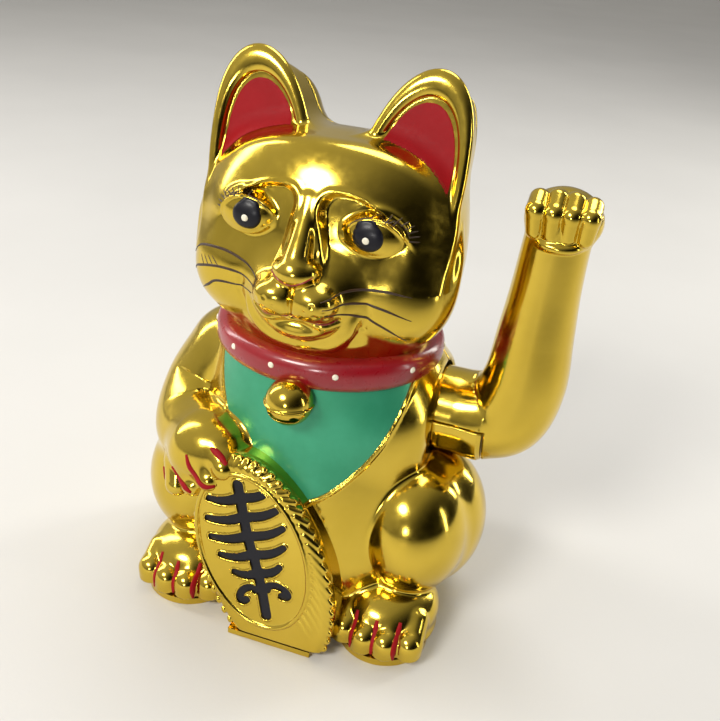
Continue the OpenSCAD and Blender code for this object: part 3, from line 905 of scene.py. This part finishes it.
def ramp(tree, source, low, high, a, b):
    """The source between low and high turned into a number or colour from a to b."""
    if isinstance(a, tuple):
        made = tree.nodes.new("ShaderNodeValToRGB")
        made.color_ramp.elements[0].position = low
        made.color_ramp.elements[0].color = (*a, 1)
        made.color_ramp.elements[1].position = high
        made.color_ramp.elements[1].color = (*b, 1)
        tree.links.new(source, made.inputs[0])
        return made.outputs[0]
    made = node(tree, "ShaderNodeMapRange")
    for key, value in zip(("From Min", "From Max", "To Min", "To Max"), (low, high, a, b)):
        made.inputs[key].default_value = value
    tree.links.new(source, made.inputs["Value"])
    return made.outputs["Result"]


def bump(tree, shader, source, distance):
    made = node(tree, "ShaderNodeBump", Strength=1.0, Distance=distance)
    tree.links.new(source, made.inputs["Height"])
    tree.links.new(made.outputs["Normal"], shader.inputs["Normal"])


def finish(name, light, dark, rough, metal=0.0, grain=900.0, grain_depth=0.00002, coat_weight=0.0,
           patches=60.0, shine=0.5):
    """A finish with colour that drifts, roughness that varies and a fine grain."""
    made, tree, shader = material(name)
    shader.inputs["Metallic"].default_value = metal
    if coat_weight:
        shader.inputs["Coat Weight"].default_value = coat_weight
        shader.inputs["Coat Roughness"].default_value = 0.12
    shader.inputs["Specular IOR Level"].default_value = shine
    drift = noise(tree, patches, 4.0, 0.6)
    tree.links.new(ramp(tree, drift, 0.35, 0.68, dark, light), shader.inputs["Base Color"])
    fine = noise(tree, grain, 2.0)
    tree.links.new(ramp(tree, fine, 0.3, 0.7, rough[0], rough[1]), shader.inputs["Roughness"])
    bump(tree, shader, fine, grain_depth)
    return made


gold = finish("gold_plating", (0.71, 0.51, 0.072), (0.65, 0.46, 0.056), (0.12, 0.19), 1.0,
              grain=420.0, grain_depth=0.000012, patches=35.0)
red_paint = finish("red_lacquer", (0.30, 0.007, 0.015), (0.24, 0.004, 0.010), (0.26, 0.34),
                   coat_weight=0.5, grain=500.0, grain_depth=0.000003)
ear_paint = finish("ear_lacquer", (0.33, 0.005, 0.010), (0.28, 0.004, 0.008), (0.5, 0.6),
                   grain_depth=0.000005, shine=0.16)
green_paint = finish("green_lacquer", (0.045, 0.36, 0.20), (0.03, 0.30, 0.155), (0.34, 0.40), 0.4,
                     grain_depth=0.000004, coat_weight=0.3)
black_paint = finish("black_lacquer", (0.010, 0.010, 0.016), (0.006, 0.006, 0.010), (0.30, 0.40),
                     coat_weight=0.05, grain=700.0, grain_depth=0.000006, shine=0.25)
white_paint = finish("white_lacquer", (0.88, 0.85, 0.72), (0.80, 0.76, 0.62), (0.2, 0.35))
line_paint = finish("whisker_lacquer", (0.05, 0.022, 0.012), (0.025, 0.012, 0.008), (0.3, 0.45))
# near-black plastic for the shoulder pocket's inside: painted shade in the recess
pocket_shade_plastic = finish("pocket_shade_plastic", (0.02, 0.016, 0.01), (0.012, 0.01, 0.007), (0.5, 0.65))
black_plastic = finish("black_plastic", (0.028, 0.028, 0.03), (0.018, 0.018, 0.02), (0.42, 0.6),
                       grain=2400.0, grain_depth=0.00003)
white_plastic = finish("white_plastic", (0.80, 0.78, 0.71), (0.72, 0.70, 0.62), (0.35, 0.5),
                       grain=2000.0)
steel = finish("steel", (0.62, 0.63, 0.64), (0.50, 0.51, 0.52), (0.22, 0.38), 1.0, grain=1800.0)
magnet = finish("magnet", (0.34, 0.34, 0.35), (0.26, 0.26, 0.27), (0.25, 0.4), 1.0, grain=1600.0)
bronze = finish("bronze", (0.62, 0.40, 0.17), (0.50, 0.31, 0.12), (0.35, 0.5), 1.0, grain=3000.0)
component = finish("component_body", (0.05, 0.06, 0.09), (0.03, 0.035, 0.05), (0.25, 0.4))
red_wire = finish("red_insulation", (0.5, 0.02, 0.015), (0.42, 0.012, 0.01), (0.35, 0.5))
black_wire = finish("black_insulation", (0.03, 0.03, 0.03), (0.02, 0.02, 0.02), (0.35, 0.5))


def banded(name, light, dark, scale, direction, rough, metal, depth):
    """A finish with fine parallel bands, such as wound wire."""
    made, tree, shader = material(name)
    shader.inputs["Metallic"].default_value = metal
    wave = node(tree, "ShaderNodeTexWave", Scale=scale, Distortion=0.4, Detail=1.0)
    wave.bands_direction = direction
    tree.links.new(coordinates(tree), wave.inputs["Vector"])
    tree.links.new(ramp(tree, wave.outputs["Fac"], 0.1, 0.8, dark, light),
                   shader.inputs["Base Color"])
    tree.links.new(ramp(tree, noise(tree, 900.0), 0.3, 0.7, *rough), shader.inputs["Roughness"])
    bump(tree, shader, wave.outputs["Fac"], depth)
    return made


copper = banded("copper_wire", (0.72, 0.30, 0.12), (0.30, 0.10, 0.04), 1600.0, "Z", (0.25, 0.4),
                1.0, 0.00006)
battery = banded("battery_can", (0.16, 0.17, 0.2), (0.14, 0.15, 0.175), 60.0, "X", (0.25, 0.4),
                 0.6, 0.000005)


def solder_mask():
    """Green laminate with paler tracks under the mask."""
    made, tree, shader = material("circuit_board")
    cells = node(tree, "ShaderNodeTexVoronoi", Scale=260.0)
    cells.feature = "DISTANCE_TO_EDGE"
    tree.links.new(coordinates(tree), cells.inputs["Vector"])
    tree.links.new(ramp(tree, cells.outputs["Distance"], 0.04, 0.08, (0.10, 0.34, 0.12),
                        (0.03, 0.20, 0.07)), shader.inputs["Base Color"])
    tree.links.new(ramp(tree, noise(tree, 800.0), 0.3, 0.7, 0.3, 0.45), shader.inputs["Roughness"])
    bump(tree, shader, cells.outputs["Distance"], 0.00002)
    return made


board = solder_mask()

CAD_FINISH = {
    "arm_hub": black_plastic, "pivot_shaft": steel, "pendulum_lever": black_plastic,
    "pendulum_weight": steel, "pendulum_magnet": magnet, "movement_frame": black_plastic,
    "bearing_bushes": bronze, "coil_bobbin": white_plastic, "coil_winding": copper,
    "circuit_board": board, "circuit_components": component, "base_plate": gold,
    "base_screws": steel, "frame_screws": steel, "battery_door": gold, "battery_cell": battery,
    "battery_spring": steel, "battery_contact": steel, "switch_housing": black_plastic,
    "switch_slider": white_plastic, "battery_wire": red_wire, "switch_wire": black_wire,
    "board_wire": black_wire}
for name, look in CAD_FINISH.items():
    for one in frame["nodes"][name].material_slots:
        one.material = look

# ---- pieces ----

FRONT, REAR = ["front_shell"], ["rear_shell"]
sculpt("front_head_shell", above_neck(front_half(head)), (-46, -46, NECK_Z - 1),
       (46, SEAM_Y + 1, 173), 0.46, gold, "figure", FRONT)
front_body = sculpt("front_body_shell", below_neck(front_half(body)), (-60, -58, 1),
                    (61, SEAM_Y + 1, NECK_Z + 1), 0.6, [gold, pocket_shade_plastic], "figure",
                    FRONT)
sculpt("rear_head_shell", above_neck(rear_half(head)), (-46, SEAM_Y - 1, NECK_Z - 1),
       (46, 27, 172), 0.6, gold, "figure", REAR)
rear_body = sculpt("rear_body_shell", below_neck(rear_half(body)), (-60, SEAM_Y - 1, 1),
                   (61, 41, NECK_Z + 1), 0.65, [gold, pocket_shade_plastic], "figure", REAR)
sculpt("arm_shell_skin", arm_upper, (ARM_ROOT_X - 1, -20, 52), (78, 14, 148), 0.5, gold,
       "waving_arm", ["arm_shell"])
sculpt("arm_cover_skin", arm_lower, (ARM_ROOT_X - 1, -18, 52), (COVER_END_X + 1, 14, 71), 0.5,
       gold, "waving_arm", ["arm_under_cover"])


def darken_pocket(obj):
    """The shoulder opening's inside is plastic coloured near black: painted shade in the recess."""
    count = len(obj.data.polygons)
    middle = np.zeros(count * 3, np.float32)
    obj.data.polygons.foreach_get("center", middle)
    x, y, z = middle.reshape(-1, 3).T / MM
    inside = (x > SHOULDER_X - SOCKET_DEEP - 0.6) & (x < SHOULDER_X - 1.2)
    inside &= np.hypot(y - PIVOT_Y, z - PIVOT_Z) < SOCKET_R + 0.2
    obj.data.polygons.foreach_set("material_index", inside.astype(np.int32))


# the pockets get the near-black finish, painted shade
darken_pocket(front_body)
darken_pocket(rear_body)

sculpt("coin_skin", coin_shape, (-27, -58, 2), (24, -34, 64), 0.36, gold, "figure",
       FRONT)
sculpt("coin_ornament", sprig, (-22, -57, 4), (20, -38, 58), 0.3, black_paint, "figure",
       FRONT)
sculpt("collar_band", collar, (-38, -41, 81), (38, 28, 95), 0.5, red_paint, "figure",
       FRONT)
sculpt("jingle_bell", bell, BELL_AT - 9, BELL_AT + 9, 0.26, gold, "figure",
       ["bell"])
sculpt("green_bib", coat(chest_surface, bib_area, 0.35),
       (-36, -50, 42), (36, -6, 89), 0.5, green_paint, "figure", FRONT)


def ear_face(p):
    """Where the ear is painted: the face inside the rim, above the forehead."""
    x = np.abs(p[0])
    inside = arch(x, p[2]) + 2 * EAR_RIM + 0.7
    return np.maximum(np.maximum(inside, 0.6 - head_block(p)), ear_depth(p) - EAR_DEPTH - 2)


for side, name in ((-1, "right_ear_lacquer"), (1, "left_ear_lacquer")):
    low_x, high_x = sorted((6 * side, 40 * side))
    sculpt(name, coat(head, ear_face, 0.14), (low_x, -26, 130), (high_x, 0, 172), 0.4, ear_paint,
           "figure", FRONT)


def painted(name, parts, look, body="figure", nodes=FRONT):
    points, faces = gather(parts)
    return piece(new_mesh(name, points, faces), look, body, nodes)


PUPIL_AT, PUPIL_R = (17.2, -36, 131.4), 4.5
GLINT_AT, GLINT_R = (-0.3, 0, -0.9), 1.15
pupils = [(side * PUPIL_AT[0], PUPIL_AT[1], PUPIL_AT[2]) for side in (-1, 1)]
painted("pupils", [spot(head, place, PUPIL_R, 0.3) for place in pupils], black_paint)
painted("eye_glints", [spot(head, np.array(place) + GLINT_AT, GLINT_R, 0.55, 4, 24)
                       for place in pupils], white_paint)
painted("collar_dots", [spot(collar, (36 * sin(radians(a)), COLLAR_AT[1] - 32 * cos(radians(a)),
                                      COLLAR_AT[2] + 1.2), 0.95, 0.28, 4, 20)
                        for a in DOT_ANGLES], white_paint)
painted("nose_and_mouth_lines", [
    stroke(head, [(-5.9, -40, 121), (-3.2, -41, 119.3), (0, -42, 118.1), (3.2, -41, 119.3),
                  (5.9, -40, 121)], 0.8, lift=0.2)] + [
    stroke(head, [(side * x, -38, z) for x, z, _ in MOUTH], 0.7) for side in (-1, 1)],
    red_paint)

WHISKERS = [
    [(-38.4, -13, 112.8), (-34, -20, 117.4), (-26, -27, 119), (-18, -34, 117.6), (-11, -40, 114.6)],
    [(-37.6, -14, 108.0), (-35, -19, 111), (-28, -25, 113.6), (-20, -32, 114), (-11.6, -39, 112.4)],
    [(-33.6, -16, 104.2), (-30.5, -20, 106.8), (-26, -26, 109.6), (-14, -36, 110.2)],
    [(8.8, -40, 115), (15, -34, 116.4), (23, -30, 116.6), (30, -24, 115.6)],
    [(9.4, -40, 112.8), (16, -34, 112.8), (23.4, -29, 111.4), (30.6, -22, 108.8)],
    [(9.8, -39, 110.8), (17, -33, 108.8), (24, -27, 105.4), (29.4, -21, 101.6)]]
STRAY_HAIRS = [[(-32 + 1.8 * i, -24, 112.6 + 0.5 * i), (-33.4 + 1.5 * i, -23, 115 + 0.4 * i)]
               for i in range(4)]
LASH_ANGLES = (2, 14, 26, 38, 50, 62, 76, 92)


def lash(side, angle):
    """A short stroke outwards from the lid."""
    a = radians(angle)
    def at(grow):
        q = np.array([EYE_HALF[0] * cos(a) * grow, -4, EYE_HALF[1] * sin(a) * grow])
        q = eye_back.T @ q + EYE_AT
        return (side * q[0], q[1], q[2])
    return stroke(head, [at(1.02), at(1.18), at(1.36)], 0.42, (1, 0.2), 0.12, 10, 6)


def lid_line(side):
    """A dark line along the upper lid."""
    points = []
    for angle in (14, 40, 65, 90, 115, 140, 164):
        a = radians(angle)
        q = eye_back.T @ np.array([EYE_HALF[0] * 1.03 * cos(a), -4, EYE_HALF[1] * 1.1 * sin(a)])
        q = q + EYE_AT
        points.append((side * q[0], q[1], q[2]))
    return stroke(head, points, 0.5, lift=0.1)


painted("whiskers", [stroke(head, points, 0.8, (0.3, 0.3), 0.16, 40, 6) for points in WHISKERS]
        + [stroke(head, points, 0.35, (0.6, 0.2), 0.1, 8, 6) for points in STRAY_HAIRS],
        line_paint)
painted("eyelashes", [lash(side, a) for side in (-1, 1) for a in LASH_ANGLES]
        + [lid_line(side) for side in (-1, 1)], line_paint)

CLAWS = [[(FOOT_X * side + 7 * i, -52, 3.4), (FOOT_X * side + 7 * i, -53, 8),
          (FOOT_X * side + 6.9 * i, -50.5, 13.4)] for side in (-1, 1) for i in (-1, 0, 1)]
CLAWS += [[(-28.7, -47, 59), (-26.7, -48, 54.4), (-22.1, -49, 51.4), (-18.6, -50, 51.5)],
          [(-35.1, -45, 51.1), (-32.5, -47, 48.7), (-29.4, -48, 47.4), (-27, -48.5, 46)],
          [(-21.6, -48, 62.5), (-18.6, -50, 61.4), (-15.4, -50, 59.4)],
          [(-40.7, -42, 46.2), (-39.9, -43, 41.2)]]
painted("claws", [stroke(body, points, 2.1, (0.4, 0.5), 0.35, 18) for points in CLAWS], ear_paint)

# ---- stage ----


DIM_WAY = (0.5, -0.87, 0)                  # the floor's colour is painted darker towards this side, far from the cat: painted shade


def floor_paint():
    """Pale matt board with a faint mottle; its colour darkens to grey towards DIM_WAY as painted
    shade.
    """
    made, tree, shader = material("pale_floor")
    lean = vector_math(tree, "DOT_PRODUCT", coordinates(tree), DIM_WAY)
    # painted shade: the floor's colour darkens towards DIM_WAY
    dim = ramp(tree, lean, 0.10, 0.50, (0.65, 0.64, 0.625), (0.16, 0.16, 0.155))
    mottle = ramp(tree, noise(tree, 7.0, 4.0), 0.3, 0.7, (0.95, 0.95, 0.95), (1.0, 1.0, 1.0))
    both = vector_math(tree, "MULTIPLY", dim, mottle)
    tree.links.new(both, shader.inputs["Base Color"])
    fine = noise(tree, 900.0)
    tree.links.new(ramp(tree, fine, 0.3, 0.7, 0.6, 0.75), shader.inputs["Roughness"])
    bump(tree, shader, fine, 0.00003)
    return made


def stage():
    mesh = bpy.data.meshes.new("floor")
    half = 3.0
    mesh.from_pydata([(-half, -half, 0), (half, -half, 0), (half, half, 0), (-half, half, 0)], [],
                     [(0, 1, 2, 3)])
    floor = bpy.data.objects.new("floor", mesh)
    bpy.context.scene.collection.objects.link(floor)
    floor.location.z = -0.0001
    floor.data.materials.append(floor_paint())


def soft_light(name, place, aim, size, power, colour=(1, 1, 1)):
    data = bpy.data.lights.new(name, "AREA")
    data.shape = "ELLIPSE"
    data.size, data.size_y = size
    data.energy = power
    data.color = colour
    light = bpy.data.objects.new(name, data)
    light.location = place
    way = Vector(aim) - Vector(place)
    light.rotation_euler = way.to_track_quat("-Z", "Y").to_euler()
    bpy.context.scene.collection.objects.link(light)


stage()
soft_light("key", (-0.30, -0.80, 0.76), (0, 0, 0.08), (0.40, 0.26), 8, (1.0, 0.97, 0.9))
soft_light("strip", (-0.85, 0.05, 0.55), (0, 0, 0.08), (0.16, 0.9), 3.5, (1.0, 0.98, 0.94))
soft_light("top", (0.1, 0.35, 1.1), (0, 0, 0.1), (0.7, 0.45), 5)
soft_light("front", (0.03, -0.90, 0.20), (0, 0, 0.08), (0.12, 0.12), 1.3, (1.0, 0.98, 0.95))
soft_light("side", (0.95, -0.05, 0.20), (0, 0, 0.12), (0.05, 0.6), 1.0, (1.0, 0.98, 0.92))
soft_light("rim", (0.62, 0.62, 0.42), (0, 0, 0.1), (0.14, 0.7), 3.0, (1.0, 0.98, 0.9))

BRIGHT_WAY = (-0.66, 0.16, 0.73)           # towards the bright side of the studio
STUDIO = ((0.0, 0.05), (0.36, 0.10), (0.50, 0.34), (0.68, 0.62), (1.0, 0.95))   # place, grey
DARK_WAY = (0.93, -0.36, 0.02)             # towards a dark corner of the studio
CORNER = ((0.70, 1.0), (0.90, 0.12))       # place, share of the light left


def studio():
    """A soft room: bright above and to one side, dim on the other."""
    world = bpy.data.worlds.new("studio")
    bpy.context.scene.world = world
    world.use_nodes = True
    tree = world.node_tree

    def shades(way, stops):
        """Grey that depends on the angle to a direction; place 0.5 is square to it."""
        lean = vector_math(tree, "DOT_PRODUCT", coordinates(tree, "Generated"),
                           Vector(way).normalized())
        unit = node(tree, "ShaderNodeMapRange")
        unit.inputs["From Min"].default_value = -1
        tree.links.new(lean, unit.inputs["Value"])
        made = tree.nodes.new("ShaderNodeValToRGB")
        made.color_ramp.interpolation = "B_SPLINE"
        for i, (at, grey) in enumerate(stops):
            stop = made.color_ramp.elements[i] if i < 2 else made.color_ramp.elements.new(at)
            stop.position = at
            stop.color = (grey, grey * 0.985, grey * 0.95, 1)
        tree.links.new(unit.outputs["Result"], made.inputs[0])
        return made.outputs[0]

    both = vector_math(tree, "MULTIPLY", shades(BRIGHT_WAY, STUDIO), shades(DARK_WAY, CORNER))
    tree.links.new(both, tree.nodes["Background"].inputs["Color"])
    tree.nodes["Background"].inputs["Strength"].default_value = 0.62


studio()
bpy.context.scene.view_settings.view_transform = "Standard"

# ---- camera ----

CAMERA_AZ, CAMERA_EL, CAMERA_ROLL = 16.1, 28.4, 5.0      # degrees
CAMERA_FAR = 290.3                                       # to its target
CAMERA_AIM = (8.4, 0, 76.4)
PHOTO_WIDE, FOCAL = 721, 900                             # the longer side and the focal length


def camera():
    az, el, roll = (radians(v) for v in (CAMERA_AZ, CAMERA_EL, CAMERA_ROLL))
    back = Vector((sin(az) * cos(el), -cos(az) * cos(el), sin(el)))
    right = Vector((cos(az), sin(az), 0))
    up = back.cross(right)
    right, up = cos(roll) * right + sin(roll) * up, -sin(roll) * right + cos(roll) * up
    data = bpy.data.cameras.new("camera")
    data.sensor_width = 36
    data.lens = FOCAL / PHOTO_WIDE * data.sensor_width
    data.clip_start = 0.01
    made = bpy.data.objects.new("camera", data)
    place = (Vector(CAMERA_AIM) + CAMERA_FAR * back) * MM
    turn = Matrix((right, up, back)).transposed().to_4x4()
    made.matrix_world = Matrix.Translation(place) @ turn
    bpy.context.scene.collection.objects.link(made)
    bpy.context.scene.camera = made


camera()
